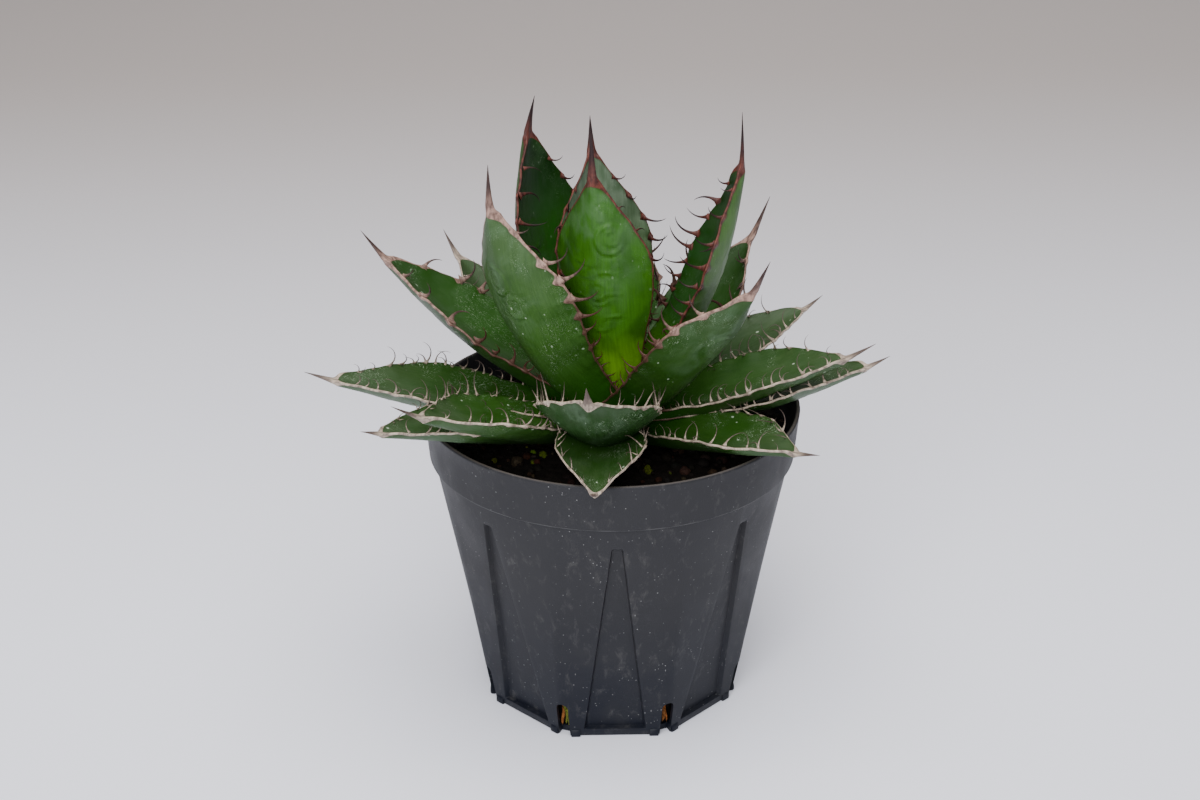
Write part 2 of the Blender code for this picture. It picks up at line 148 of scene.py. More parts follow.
CURVE_ENDS = 1.15  # a leaf stops curving this far along, in blade lengths

# How far the horny border reaches in from the margin, along the blade from foot (0) to end (1)
BORDER_AT = (
    (0, 0.05), (0.3, 0.10), (0.5, 0.16), (0.7, 0.30), (0.88, 0.42), (0.96, 0.62), (0.985, 1.1),
    (1, 2.4),
)

# The toothed part of a margin, in blade lengths, and how long a tooth is along it, as a share of
# the leaf's longest
TEETH_FROM = 0.05
TEETH_TO = 0.95
TOOTH_AT = (
    (0, 0.3), (0.15, 0.45), (0.3, 0.62), (0.45, 0.82), (0.6, 1.0), (0.78, 0.95), (0.9, 0.6),
    (1, 0.25),
)
HOOKED_BACK = 0.2  # the share of teeth that hook the other way from their neighbours
FORK_LEAN = 35  # how far a forked tooth's second point leans aside
FORK_SIZE = 0.6  # and its size, as a share of the first

# The three ages of leaf. tooth is the longest tooth, stout its half width at the foot, slim its
# half width above that; gap_tip and gap_foot are the spaces between teeth; curl is how far a
# tooth hooks, and tilt the lowest and highest lean over the upper face; band scales the horny
# border; forked is the share of teeth that fork. above and below are the greens of the two
# faces, at the foot, middle and end of the blade. The horn goes from light to dark towards each
# point, and is reddish brown nearer the stem than horn_dark_below. scarred is how strongly pale
# scratches show, and uneven how far the teeth differ in size and spacing.
Age = namedtuple(
    "Age",
    "name slot tooth stout slim gap_tip gap_foot curl tilt band forked above below "
    "horn horn_dark horn_dark_below scarred uneven",
)
# The undersides' greens at the foot, middle and end. The deep, saturated green at the foot is partly
# the leaf's own, with less wax there, and partly painted shade where the leaves crowd round the stem
GREY_BELOW = ((0.008, 0.060, 0.0005), (0.024, 0.070, 0.008), (0.025, 0.058, 0.011))
HEART = Age(
    "heart", "leaf_heart", 7.4, 1.4, 0.44, 6.0, 2.7, 90, (20, 75), 0.7, 0.1,
    # The upper faces' dark greens are partly the heart leaves' own, partly painted shade inside the
    # rosette
    ((0.060, 0.180, 0.002), (0.004, 0.046, 0.0006), (0.002, 0.022, 0.0006)),
    GREY_BELOW,
    (0.12, 0.034, 0.024), (0.012, 0.005, 0.006), 24.0, 0.16, 0.22,
)
MIDDLE = Age(
    "middle", "leaf_green", 7.8, 1.8, 0.50, 8.4, 3.0, 105, (15, 80), 1.3, 0.15,
    ((0.030, 0.120, 0.001), (0.016, 0.070, 0.003), (0.014, 0.044, 0.006)),
    GREY_BELOW,
    (0.34, 0.215, 0.170), (0.026, 0.012, 0.011), 40.0, 0.65, 0.28,
)
OUTER = Age(
    "outer", "leaf_green", 6.2, 0.60, 0.20, 3.8, 1.9, 115, (25, 130), 0.6, 0.45,
    ((0.010, 0.055, 0.0006), (0.019, 0.060, 0.006), (0.034, 0.062, 0.021)),
    GREY_BELOW,
    (0.42, 0.34, 0.265), (0.060, 0.040, 0.034), 9.0, 0.85, 0.45,
)
AGES = (HEART,) * 4 + (MIDDLE,) * 5 + (OUTER,) * 13  # of LEAVES, in their order
AGE_OF = {leaf.name: age for leaf, age in zip(LEAVES, AGES)}

# Leaves whose greens aren't their age's: the youngest open leaf is bright below, the one behind
# it is waxy above, and the tall one on its left is very dark above: partly its own darker face,
# partly painted shade from the leaf in front
OWN_BELOW = {
    "leaf_01": ((0.110, 0.260, 0.002), (0.030, 0.120, 0.001), (0.026, 0.098, 0.005)),
    "leaf_04": ((0.060, 0.200, 0.001), (0.046, 0.140, 0.006), (0.050, 0.135, 0.014)),
    # The deep green at this leaf's foot below is partly painted shade
    "leaf_05": ((0.010, 0.065, 0.0004), (0.034, 0.092, 0.013), (0.030, 0.070, 0.015)),
    "leaf_10": ((0.012, 0.050, 0.004), (0.018, 0.052, 0.012), (0.024, 0.052, 0.018)),
}
OWN_ABOVE = {
    "leaf_02": ((0.080, 0.200, 0.004), (0.090, 0.160, 0.060), (0.150, 0.200, 0.140)),
    # Its near-black upper face is partly painted shade from the leaf in front
    "leaf_03": ((0.030, 0.110, 0.001), (0.008, 0.070, 0.0004), (0.0008, 0.012, 0.0002)),
}

# Margins whose teeth are smaller or larger: the share of their age's tooth, by leaf and side
TOOTH_SHARE = {
    ("leaf_05", -1): 0.12,
    ("leaf_01", 1): 0.4,
    ("leaf_01", -1): 0.3,
    ("leaf_10", 1): 1.25,
    ("leaf_10", -1): 1.25,
}

# Margins whose teeth lean or hook their own way: the lowest and highest lean over the upper
# face, and which way they hook (1 to the tip, -1 to the foot)
OWN_TEETH = {
    ("leaf_03", 1): (95, 135, -1),
    ("leaf_04", -1): (40, 85, 1),
    ("leaf_05", 1): (-5, 25, 1),
    ("leaf_06", -1): (30, 70, 1),
    ("leaf_10", 1): (25, 75, 1),
    ("leaf_10", -1): (25, 75, 1),
}

# The camera
CAMERA_TURN = -1.5
CAMERA_RISE = 25.2
CAMERA_DISTANCE = 612.0
CAMERA_AIM_ACROSS = -3.3
CAMERA_AIM_HEIGHT = 88.3
CAMERA_LENS = 65.7


def smooth_through(knots, at):
    """A smooth curve through (place, value) knots, which doesn't overshoot between them."""
    places, values = (np.array(column, float) for column in zip(*knots))
    steps = np.diff(places)
    slopes = np.diff(values) / steps
    inner = np.where(slopes[1:] * slopes[:-1] > 0, (slopes[1:] + slopes[:-1]) / 2, 0.0)
    limit = 3 * np.minimum(abs(slopes[1:]), abs(slopes[:-1]))
    inner = np.clip(inner, -limit, limit)
    tangents = np.concatenate([[slopes[0]], inner, [slopes[-1]]])
    at = np.clip(at, places[0], places[-1])
    i = np.clip(np.searchsorted(places, at, side="right") - 1, 0, len(steps) - 1)
    u = (at - places[i]) / steps[i]
    first = values[i] * (1 + 2 * u) * (1 - u) ** 2 + steps[i] * tangents[i] * u * (1 - u) ** 2
    return first + values[i + 1] * u**2 * (3 - 2 * u) + steps[i] * tangents[i + 1] * u**2 * (u - 1)


def smoothstep(value, low, high):
    u = np.clip((value - low) / (high - low), 0.0, 1.0)
    return u * u * (3 - 2 * u)


def bell(distance, width):
    return np.exp(-((distance / width) ** 2))


def full_turn(count):
    return np.linspace(0, 2 * math.pi, count, endpoint=False)


def level_ring(radius, angle, height):
    return np.stack([radius * np.cos(angle), radius * np.sin(angle), np.full(len(angle), height)], -1)


# Shaders --------------------------------------------------------------------------------------


class Graph:
    """A material being made. Each call adds one node and returns its output."""

    def __init__(self, name):
        self.material = bpy.data.materials.new(name)
        self.material.use_nodes = True
        self.tree = self.material.node_tree
        self.shader = self.tree.nodes["Principled BSDF"]

    def put(self, socket, value):
        if isinstance(value, bpy.types.NodeSocket):
            self.tree.links.new(value, socket)
        else:
            socket.default_value = (*value, 1.0) if socket.type == "RGBA" else value

    def attribute(self, name, output="Vector"):
        node = self.tree.nodes.new("ShaderNodeAttribute")
        node.attribute_name = name
        return node.outputs[output]

    def split(self, vector):
        node = self.tree.nodes.new("ShaderNodeSeparateXYZ")
        self.put(node.inputs[0], vector)
        return node.outputs[:]

    def place(self):
        """The point in millimetres, in the frame."""
        return self.stretch(self.tree.nodes.new("ShaderNodeTexCoord").outputs["Object"], (1 / MM,) * 3)

    def stretch(self, vector, scale):
        node = self.tree.nodes.new("ShaderNodeVectorMath")
        node.operation = "MULTIPLY"
        self.put(node.inputs[0], vector)
        self.put(node.inputs[1], scale)
        return node.outputs[0]

    def noise(self, vector, scale, detail=2.0, roughness=0.5, distortion=0.0):
        node = self.tree.nodes.new("ShaderNodeTexNoise")
        self.put(node.inputs["Vector"], vector)
        self.put(node.inputs["Scale"], scale)
        self.put(node.inputs["Detail"], detail)
        self.put(node.inputs["Roughness"], roughness)
        self.put(node.inputs["Distortion"], distortion)
        return node.outputs["Fac"]

    def cells(self, vector, scale):
        """Scattered points: the distance to the nearest, and a random colour for each."""
        node = self.tree.nodes.new("ShaderNodeTexVoronoi")
        self.put(node.inputs["Vector"], vector)
        self.put(node.inputs["Scale"], scale)
        return node.outputs["Distance"], node.outputs["Color"]

    def math(self, operation, a, b=0.0):
        node = self.tree.nodes.new("ShaderNodeMath")
        node.operation = operation
        self.put(node.inputs[0], a)
        self.put(node.inputs[1], b)
        return node.outputs[0]

    def times(self, a, b):
        return self.math("MULTIPLY", a, b)

    def plus(self, a, b):
        return self.math("ADD", a, b)

    def away(self, a, b):
        """How far apart a and b are."""
        return self.math("ABSOLUTE", self.math("SUBTRACT", a, b))

    def ramp(self, value, low, high, start=0.0, end=1.0):
        """A smooth step from start to end as value goes from low to high."""
        node = self.tree.nodes.new("ShaderNodeMapRange")
        node.interpolation_type = "SMOOTHSTEP"
        self.put(node.inputs["Value"], value)
        self.put(node.inputs["From Min"], low)
        self.put(node.inputs["From Max"], high)
        self.put(node.inputs["To Min"], start)
        self.put(node.inputs["To Max"], end)
        return node.outputs[0]

    def mix(self, factor, a, b):
        node = self.tree.nodes.new("ShaderNodeMix")
        node.data_type = "RGBA"
        colours = [socket for socket in node.inputs if socket.type == "RGBA"]
        self.put(node.inputs["Factor"], factor)
        self.put(colours[0], a)
        self.put(colours[1], b)
        return next(socket for socket in node.outputs if socket.type == "RGBA")

    def bump(self, height, distance, strength):
        node = self.tree.nodes.new("ShaderNodeBump")
        self.put(node.inputs["Height"], height)
        self.put(node.inputs["Distance"], distance)
        self.put(node.inputs["Strength"], strength)
        self.put(self.shader.inputs["Normal"], node.outputs[0])

    def finish(self, colour, rough, specular=0.5):
        """The material, now that its colour, roughness and shine are known."""
        self.put(self.shader.inputs["Base Color"], colour)
        self.put(self.shader.inputs["Roughness"], rough)
        self.put(self.shader.inputs["Specular IOR Level"], specular)
        return self.material


def specks(g, place, scale, size, share):
    """Small round marks: one in share of the cells holds one, of up to size cells across."""
    distance, colour = g.cells(place, scale)
    pick, grow, _ = g.split(colour)
    radius = g.times(grow, size)
    near = g.ramp(g.math("SUBTRACT", radius, distance), 0.0, size * 0.35)
    return g.times(near, g.math("LESS_THAN", pick, share))


def leaf_material(age):
    """Green skin with a waxy bloom, pale scars, and a horny border that darkens to the points."""
    g = Graph(f"{age.name}_leaf")
    on_leaf = g.attribute("leaf_pos")
    border, point, under = g.split(g.attribute("leaf_mask"))
    across, along, _ = g.split(on_leaf)
    green = g.attribute("leaf_green", "Color")

    streaks = g.noise(g.stretch(on_leaf, (1.9, 0.09, 1.0)), 1.0, 3.0, 0.6)
    clouds = g.noise(g.stretch(on_leaf, (0.17, 0.08, 1.0)), 1.0, 3.0, 0.55, 0.4)
    green = g.mix(g.ramp(streaks, 0.3, 0.7, 0.30, 0.0), green, (0.006, 0.036, 0.0006))
    green = g.mix(g.ramp(clouds, 0.42, 0.68, 0.0, 0.55), green, (0.008, 0.042, 0.0008))

    # Bloom: a waxy film in cloudy patches, thicker under the leaf and towards its end
    bloom = g.noise(g.stretch(on_leaf, (0.14, 0.10, 1.0)), 1.0, 4.0, 0.62, 0.9)
    bloom = g.times(g.ramp(bloom, 0.40, 0.70), g.ramp(along, 10.0, 42.0))
    film = g.times(bloom, g.ramp(g.math("ABSOLUTE", across), 3.0, 12.0, 1.0, 0.35))
    film = g.times(film, g.plus(g.times(under, 0.20), 0.07))
    green = g.mix(film, green, (0.12, 0.19, 0.12))

    # Scars: fine crossing scratches and small flecks, pale where the bloom is rubbed off
    scratch = g.noise(g.stretch(on_leaf, (0.75, 0.32, 1.0)), 1.0, 1.0, 0.4, 2.2)
    line = g.ramp(g.away(scratch, 0.5), 0.0, 0.011, 1.0, 0.0)
    where = g.ramp(g.noise(g.stretch(on_leaf, (0.11, 0.09, 3.0)), 1.0, 2.0), 0.50, 0.62)
    scars = g.times(line, where)
    scars = g.math("MAXIMUM", scars, specks(g, g.stretch(on_leaf, (1.0, 0.6, 1.0)), 0.62, 0.24, 0.26))
    scars = g.times(scars, g.ramp(along, 6.0, 22.0, 0.0, age.scarred))
    green = g.mix(scars, green, (0.36, 0.44, 0.32))

    # Horn: light and dark mottling, darker towards every point
    grain = g.noise(g.stretch(on_leaf, (1.3, 0.45, 1.0)), 1.0, 3.0, 0.6)
    horn = g.mix(g.ramp(grain, 0.36, 0.68, 0.0, 0.75), age.horn, age.horn_dark)
    horn = g.mix(g.ramp(point, 0.0, 0.6, 0.0, 0.94), horn, age.horn_dark)
    low = age.horn_dark_below
    horn = g.mix(g.ramp(along, low * 0.75, low * 1.25, 0.85, 0.0), horn, (0.050, 0.016, 0.010))
    ragged = g.times(g.math("SUBTRACT", grain, 0.5), 0.6)
    edge = g.plus(border, ragged)
    skin = g.mix(g.ramp(edge, -0.7, 0.0, 0.0, 0.5), green, (0.014, 0.030, 0.004))
    colour = g.mix(g.ramp(edge, -0.10, 0.12), skin, horn)

    rough = g.plus(g.ramp(bloom, 0.0, 1.0, 0.40, 0.55), g.times(streaks, 0.08))
    pores = g.noise(on_leaf, 4.0, 2.0)
    relief = g.plus(g.times(streaks, 0.7), g.times(pores, 0.3))
    g.bump(g.plus(relief, g.times(scars, 0.3)), 0.12 * MM, 0.6)
    return g.finish(colour, rough, 0.24)


def pot_material():
    """Charcoal plastic, bluer and darker low down, with dust, scuffs and lime specks, and a painted
    highlight along the collar's step.
    """
    g = Graph("charcoal_plastic")
    place = g.place()
    _, _, height = g.split(place)
    clouds = g.noise(place, 0.05, 4.0, 0.6, 0.5)
    low, high = (0.0045, 0.006, 0.0115), (0.0165, 0.0165, 0.0185)
    colour = g.mix(g.ramp(height, 0.0, 60.0), low, high)
    colour = g.mix(g.ramp(clouds, 0.35, 0.7, 0.0, 0.35), colour, (0.026, 0.026, 0.028))
    smudge = g.noise(g.stretch(place, (0.30, 0.30, 0.16)), 1.0, 5.0, 0.75, 0.4)
    colour = g.mix(g.ramp(smudge, 0.52, 0.80, 0.0, 0.30), colour, (0.120, 0.116, 0.110))

    scratch = g.noise(g.stretch(place, (0.16, 0.16, 0.26)), 1.0, 1.0, 0.4, 3.0)
    line = g.ramp(g.away(scratch, 0.5), 0.0, 0.006, 1.0, 0.0)
    where = g.ramp(g.noise(place, 0.07, 1.0), 0.55, 0.62)
    line = g.times(g.times(line, where), 0.10)
    colour = g.mix(line, colour, (0.22, 0.22, 0.22))

    dust = g.ramp(g.noise(place, 0.07, 2.0), 0.40, 0.62, 0.3, 1.0)
    marks = g.math("MAXIMUM", specks(g, place, 0.34, 0.11, 0.35), specks(g, place, 1.1, 0.24, 0.30))
    marks = g.math("MAXIMUM", marks, specks(g, g.stretch(place, (1.0, 1.0, 0.25)), 0.8, 0.12, 0.12))
    marks = g.times(marks, dust)
    colour = g.mix(g.times(marks, 0.5), colour, (0.36, 0.36, 0.36))
    worn = g.ramp(height, POT_HEIGHT - 0.25, POT_HEIGHT - 0.02, 0.0, 0.3)
    colour = g.mix(worn, colour, (0.16, 0.13, 0.11))
    # Painted highlight: a thin, broken, lighter line along the collar's step
    off_step = g.away(height, COLLAR_BOTTOM + 0.15)
    broken = g.ramp(g.noise(place, 0.12, 2.0), 0.4, 0.6, 0.05, 0.35)
    edge = g.times(broken, g.ramp(off_step, 0.05, 0.25, 1.0, 0.0))
    colour = g.mix(edge, colour, (0.12, 0.12, 0.12))
    rough = g.plus(g.ramp(clouds, 0.3, 0.7, 0.46, 0.6), g.times(marks, 0.3))
    grain = g.noise(place, 3.0, 2.0, 0.6)
    g.bump(g.plus(grain, marks), 0.06 * MM, 0.5)
    return g.finish(colour, rough, 0.19)


def soil_material():
    """Damp potting mix: each grain has its own colour, broken up by fine dark dirt."""
    g = Graph("potting_mix")
    place = g.place()
    colour = g.attribute("grain_colour", "Color")
    dirt = g.noise(place, 1.4, 4.0, 0.7)
    colour = g.mix(g.ramp(dirt, 0.35, 0.65, 0.0, 0.7), colour, (0.006, 0.004, 0.003))
    rough = g.ramp(dirt, 0.3, 0.7, 0.7, 0.95)
    g.bump(dirt, 0.4 * MM, 0.8)
    return g.finish(colour, rough, 0.12)


def stem_material():
    """The short trunk: pale bark ringed by old leaf scars."""
    g = Graph("leaf_scarred_stem")
    place = g.place()
    rings = g.noise(g.stretch(place, (0.12, 0.12, 1.6)), 1.0, 3.0, 0.6, 0.6)
    colour = g.mix(g.ramp(rings, 0.35, 0.65), (0.055, 0.050, 0.022), (0.15, 0.13, 0.06))
    stains = g.ramp(g.noise(place, 0.9, 3.0), 0.5, 0.75, 0.0, 0.8)
    colour = g.mix(stains, colour, (0.03, 0.018, 0.010))
    rough = g.ramp(rings, 0.3, 0.7, 0.65, 0.85)
    g.bump(rings, 0.5 * MM, 0.7)
    return g.finish(colour, rough)


def stage_material():
    """A pale photographer's sweep, slightly lavender, with the faintest marks, and painted shade
    that darkens it towards the back.
    """
    g = Graph("pale_sweep")
    place = g.place()
    clouds = g.noise(place, 0.004, 3.0)
    colour = g.mix(clouds, (0.85, 0.86, 0.95), (0.90, 0.91, 1.0))
    _, y, _ = g.split(place)
    # Painted shade: darker and warmer from under the plant to 650 mm behind it, and up the backdrop
    colour = g.mix(g.ramp(y, 0.0, 650.0, 0.0, 1.0), colour, (0.47, 0.425, 0.41))
    return g.finish(colour, 0.7, 0.2)


# Meshes ---------------------------------------------------------------------------------------


def show(name, data):
    """Puts a new object that holds data in the scene."""
    obj = bpy.data.objects.new(name, data)
    bpy.context.scene.collection.objects.link(obj)
    return obj


class Shape:
    """Points, faces and per-point values that are gathered for one mesh."""

    def __init__(self):
        self.points = []
        self.faces = []
        self.values = {}
        self.count = 0

    def skin(self, rings, **values):
        """A closed skin through rings of points that turn anticlockwise about the way they go."""
        rows, around = rings.shape[:2]
        index = np.arange(rows * around).reshape(rows, around) + self.count
        low, high = index[:-1], index[1:]
        quads = np.stack([low, np.roll(low, -1, 1), np.roll(high, -1, 1), high], -1)
        self.faces += quads.reshape(-1, 4).tolist()
        self.faces += [index[0][::-1].tolist(), index[-1].tolist()]
        self.add_points(rings.reshape(-1, 3), **values)

    def add_points(self, points, **values):
        self.points.append(points)
        self.count += len(points)
        for name, value in values.items():
            value = np.asarray(value, float)
            full = np.broadcast_to(value, (*points.shape[:-1], 3)) if value.ndim == 1 else value
            self.values.setdefault(name, []).append(full.reshape(-1, 3))

    def to_object(self, name, material, colours=()):
        mesh = bpy.data.meshes.new(name)
        mesh.from_pydata((np.concatenate(self.points) * MM).tolist(), [], self.faces)
        for key, parts in self.values.items():
            flat = np.concatenate(parts)
            if key in colours:
                layer = mesh.attributes.new(key, "FLOAT_COLOR", "POINT")
                flat = np.hstack([flat, np.ones((len(flat), 1))])
                layer.data.foreach_set("color", flat.astype(np.float32).ravel())
            else:
                layer = mesh.attributes.new(key, "FLOAT_VECTOR", "POINT")
                layer.data.foreach_set("vector", flat.astype(np.float32).ravel())
        mesh.materials.append(material)
        mesh.shade_smooth()
        return show(name, mesh)


def finish_piece(obj, node):
    """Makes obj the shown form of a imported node."""
    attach(obj, "root")
    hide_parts(node)


def combine(obj, shape, operation):
    """Joins a shape to obj, or cuts it away."""
    tool = shape.to_object("tool", obj.data.materials[0])
    modifier = obj.modifiers.new("combine", "BOOLEAN")
    modifier.operation = operation
    modifier.solver = "EXACT"
    modifier.object = tool
    graph = bpy.context.evaluated_depsgraph_get()
    result = bpy.data.meshes.new_from_object(obj.evaluated_get(graph))
    obj.modifiers.clear()
    obj.data = result
    bpy.data.objects.remove(tool)


# Pot ------------------------------------------------------------------------------------------


def body_radius(angle, height):
    """The outer wall below the collar: eight sides with soft corners below, a circle above."""
    half = math.pi / SIDES
    soften = math.radians(1.5)
    base = 0.0
    for nudge in (-1, -0.5, 0, 0.5, 1):
        off_middle = (angle + nudge * soften + half) % (2 * half) - half
        base = base + BASE_CORNER_RADIUS * math.cos(half) / np.cos(off_middle) / 5
    up = min(height / COLLAR_BOTTOM, 1.0)
    return base * (1 - up) + BODY_TOP_RADIUS * up


def panel_half_angle(height):
    up = (min(max(height, PANEL_BOTTOM), PANEL_TOP) - PANEL_BOTTOM) / (PANEL_TOP - PANEL_BOTTOM)
    half_width = (PANEL_BOTTOM_WIDTH * (1 - up) + PANEL_TOP_WIDTH * up) / 2
    return math.atan2(half_width, float(body_radius(0.0, height)))


def wall_ring(height, inset=0.0, collar_radius=None, panel=0.0):
    """One ring of the pot's wall, with each panel sunk by panel times its depth."""
    half = math.pi / SIDES
    # Stations over one side: to the panel's edge, down its draft, over its floor, and back up
    edge = panel_half_angle(height)
    step = PANEL_DRAFT / float(body_radius(0.0, height))
    corner = np.linspace(-half, -half * 0.86, 5)
    outer = np.concatenate([corner, np.linspace(-half * 0.8, -edge - step * 0.4, 7)])
    side = -edge + step * np.array([0.0, 0.25, 0.75, 1.0, 1.35])
    floor = np.linspace(-edge + step * 2.2, 0.0, 7)
    left = np.concatenate([outer, side, floor])
    sunk = np.concatenate([np.zeros(12), [0.03, 0.22, 0.78, 0.97, 1.0], np.ones(7)])
    turn = np.concatenate([left, -left[-2:0:-1]])
    sunk = np.concatenate([sunk, sunk[-2:0:-1]])
    angle = (np.arange(SIDES)[:, None] * 2 * half + turn).ravel()
    depth = np.tile(sunk, SIDES) * panel * PANEL_DEPTH
    radius = body_radius(angle, height) if collar_radius is None else np.full(len(angle), collar_radius)
    return level_ring(radius - inset - depth, angle, height)


def pot_rings():
    """The pot's section from its underside up the outside, over the rim and down the inside."""
    rings = []
    for a in np.radians(np.linspace(90, 0, 4)):
        rings.append(wall_ring(EDGE_ROUND * (1 - math.sin(a)), EDGE_ROUND * (1 - math.cos(a))))
    rings.append(wall_ring(PANEL_BOTTOM - PANEL_DRAFT))
    for share in (0, 0.25, 0.5, 0.75, 1):
        rings.append(wall_ring(PANEL_BOTTOM + PANEL_DRAFT * share, panel=smoothstep(share, 0, 1)))
    for height in np.linspace(PANEL_BOTTOM + 2, PANEL_TOP - 2.5, 26):
        rings.append(wall_ring(height, panel=1))
    for share in (0, 0.25, 0.5, 0.75, 1):
        rings.append(wall_ring(PANEL_TOP - 1.5 * (1 - share), panel=1 - smoothstep(share, 0, 1)))
    for height in np.linspace(PANEL_TOP + 1, COLLAR_BOTTOM - 0.7, 4):
        rings.append(wall_ring(height))
    step = COLLAR_BOTTOM_RADIUS - BODY_TOP_RADIUS
    for above, share in ((-0.06, 0.05), (-0.03, 0.85), (0.12, 1)):
        rings.append(wall_ring(COLLAR_BOTTOM + above, collar_radius=BODY_TOP_RADIUS + step * share))
    for share in np.linspace(0.05, 0.93, 5):
        radius = COLLAR_BOTTOM_RADIUS * (1 - share) + RIM_RADIUS * share
        height = COLLAR_BOTTOM * (1 - share) + POT_HEIGHT * share
        rings.append(wall_ring(height, collar_radius=radius))
    lip = WALL / 2
    for a in np.radians(np.linspace(0, 180, 9)):
        height = POT_HEIGHT - lip + lip * math.sin(a)
        rings.append(wall_ring(height, collar_radius=RIM_RADIUS - lip + lip * math.cos(a)))
    inside = COLLAR_BOTTOM_RADIUS - WALL
    rings.append(wall_ring(COLLAR_BOTTOM + COLLAR_INSIDE_RISE, collar_radius=inside))
    rings.append(wall_ring(COLLAR_BOTTOM - COLLAR_INSIDE_DROP, inset=WALL))
    rings.append(wall_ring(PANEL_TOP, inset=WALL))
    for height in np.linspace(PANEL_TOP - 2, PANEL_BOTTOM + 2, 12):
        rings.append(wall_ring(height, inset=WALL, panel=1))
    rings.append(wall_ring(FLOOR, inset=WALL))
    return np.array(rings)


def corner_axes(k):
    """The outward and sideways directions at one corner of the base."""
    angle = 2 * math.pi * (k + 0.5) / SIDES
    outward = np.array([math.cos(angle), math.sin(angle), 0.0])
    return outward, np.array([-math.sin(angle), math.cos(angle), 0.0])


def slit_rings(k):
    """A round-topped slot through one corner, which also opens the floor's edge."""
    outward, across = corner_axes(k)
    half = SLIT_WIDTH / 2
    arch = np.radians(np.linspace(0, 180, 13))
    outline = [(half, -SLIT_BELOW_BASE)]
    outline += [(half * math.cos(a), SLIT_HEIGHT - half + half * math.sin(a)) for a in arch]
    outline += [(-half, -SLIT_BELOW_BASE)]
    rings = []
    for reach in (BASE_CORNER_RADIUS - SLIT_INTO_FLOOR, BASE_CORNER_RADIUS + SLIT_PAST_WALL):
        rings.append([outward * reach + across * x + np.array([0, 0, z]) for x, z in outline])
    return np.array(rings)


def foot_rings(k, side):
    """A small rounded foot beside a slit, standing a little out of the base's corner."""
    outward, across = corner_axes(k)
    bend = side * math.pi / SIDES
    along = side * across * math.cos(bend) - outward * abs(math.sin(bend))
    out = outward * math.cos(bend) + across * math.sin(bend)
    tip = BASE_CORNER_RADIUS * outward
    start = SLIT_WIDTH / 2 + FOOT_FROM_SLIT
    outline = ((0, FOOT_ROOT), (1, FOOT_ROOT), (1, 0.75), (0.88, 1), (0.12, 1), (0, 0.75))
    face = ((0, 0.6), (0.3, 0.95), (1.0, 1.0), (FOOT_HEIGHT - 0.5, 0.85), (FOOT_HEIGHT, 0.3))
    rings = []
    for height, stand in face:
        ring = []
        for a, b in outline:
            reach = b * FOOT_STANDS_OUT * stand if b > 0 else b
            ring.append(tip + along * (start + a * FOOT_WIDTH) + out * reach + np.array([0, 0, height]))
        rings.append(ring if side < 0 else ring[::-1])
    return np.array(rings)


def make_pot():
    shape = Shape()
    shape.skin(pot_rings())
    pot = shape.to_object("slit_pot", pot_material())
    feet = Shape()
    for k in range(SIDES):
        for side in (-1, 1):
            feet.skin(foot_rings(k, side))
    combine(pot, feet, "UNION")
    slits = Shape()
    for k in range(SIDES):
        slits.skin(slit_rings(k))
    combine(pot, slits, "DIFFERENCE")
    pot.data.shade_smooth()
    pot.data.set_sharp_from_angle(angle=math.radians(SHARP_FROM))
    finish_piece(pot, "pot")


# Soil, stem and spear -------------------------------------------------------------------------

# The loose grains on the soil: their share and colour, how many, and how far out they lie
GRAINS = (
    (0.64, (0.005, 0.0035, 0.0025)),
    (0.16, (0.026, 0.009, 0.005)),
    (0.09, (0.030, 0.020, 0.011)),
    (0.02, (0.100, 0.085, 0.070)),
    (0.09, (0.075, 0.105, 0.004)),
)
GRAIN_COUNT = 620
GRAINS_REACH = 49.0

# What shows through each drain slit: grains, some of them mossy, and roots of these colours
SLIT_GRAINS = 14
MOSSY_SHARE = 0.35
MOSS = (0.13, 0.15, 0.02)
ROOTS = (
    (0.34, 0.11, 0.025),
    (0.48, 0.36, 0.24),
    (0.12, 0.05, 0.02),
    (0.14, 0.16, 0.02),
    (0.22, 0.08, 0.02),
)
ROOTS_STAND_AT = (-1.0, -0.1, 0.8)  # from the middle of the slit


def soil_height(x, y):
    """The height of the soil's surface: a gentle unevenness under a crumbly one."""
    wave = math.sin(x * 0.21 + 1.0) * math.cos(y * 0.17) + 0.6 * math.sin(x * 0.37 - y * 0.29)
    coarse = noise.noise(Vector((x * 0.55, y * 0.55, 0.0)))
    crumb = coarse + 0.6 * noise.noise(Vector((x * 1.4, y * 1.4, 5.0)))
    return SOIL_TOP + 0.4 * wave + 0.9 * crumb


def pick_grain(rng):
    share = rng.random()
    for part, colour in GRAINS:
        share -= part
        if share <= 0:
            break
    return tuple(c * rng.uniform(0.7, 1.3) for c in colour)


def unit_grain():
    """The points and faces of a round grain, before each is pulled out of shape."""
    bm = bmesh.new()
    bmesh.ops.create_icosphere(bm, subdivisions=2, radius=1.0)
    bm.verts.ensure_lookup_table()
    points = np.array([vert.co[:] for vert in bm.verts])
    faces = np.array([[vert.index for vert in face.verts] for face in bm.faces])
    bm.free()
    return points, faces


def add_grain(shape, grain, centre, size, colour, rng):
    points, faces = grain
    stretch = np.array([rng.uniform(0.7, 1.25), rng.uniform(0.7, 1.25), rng.uniform(0.55, 1.0)])
    seed = rng.uniform(0, 100)
    knobs = [1 + 0.35 * noise.noise(Vector(p) * 1.3 + Vector((seed, 0, 0))) for p in points.tolist()]
    turn = rng.uniform(0, math.pi)
    cosine, sine = math.cos(turn), math.sin(turn)
    spin = np.array([[cosine, -sine, 0], [sine, cosine, 0], [0, 0, 1]])
    made = (points * np.array(knobs)[:, None] * stretch * size) @ spin.T + np.array(centre)
    shape.faces += (faces + shape.count).tolist()
    shape.add_points(made, grain_colour=colour)


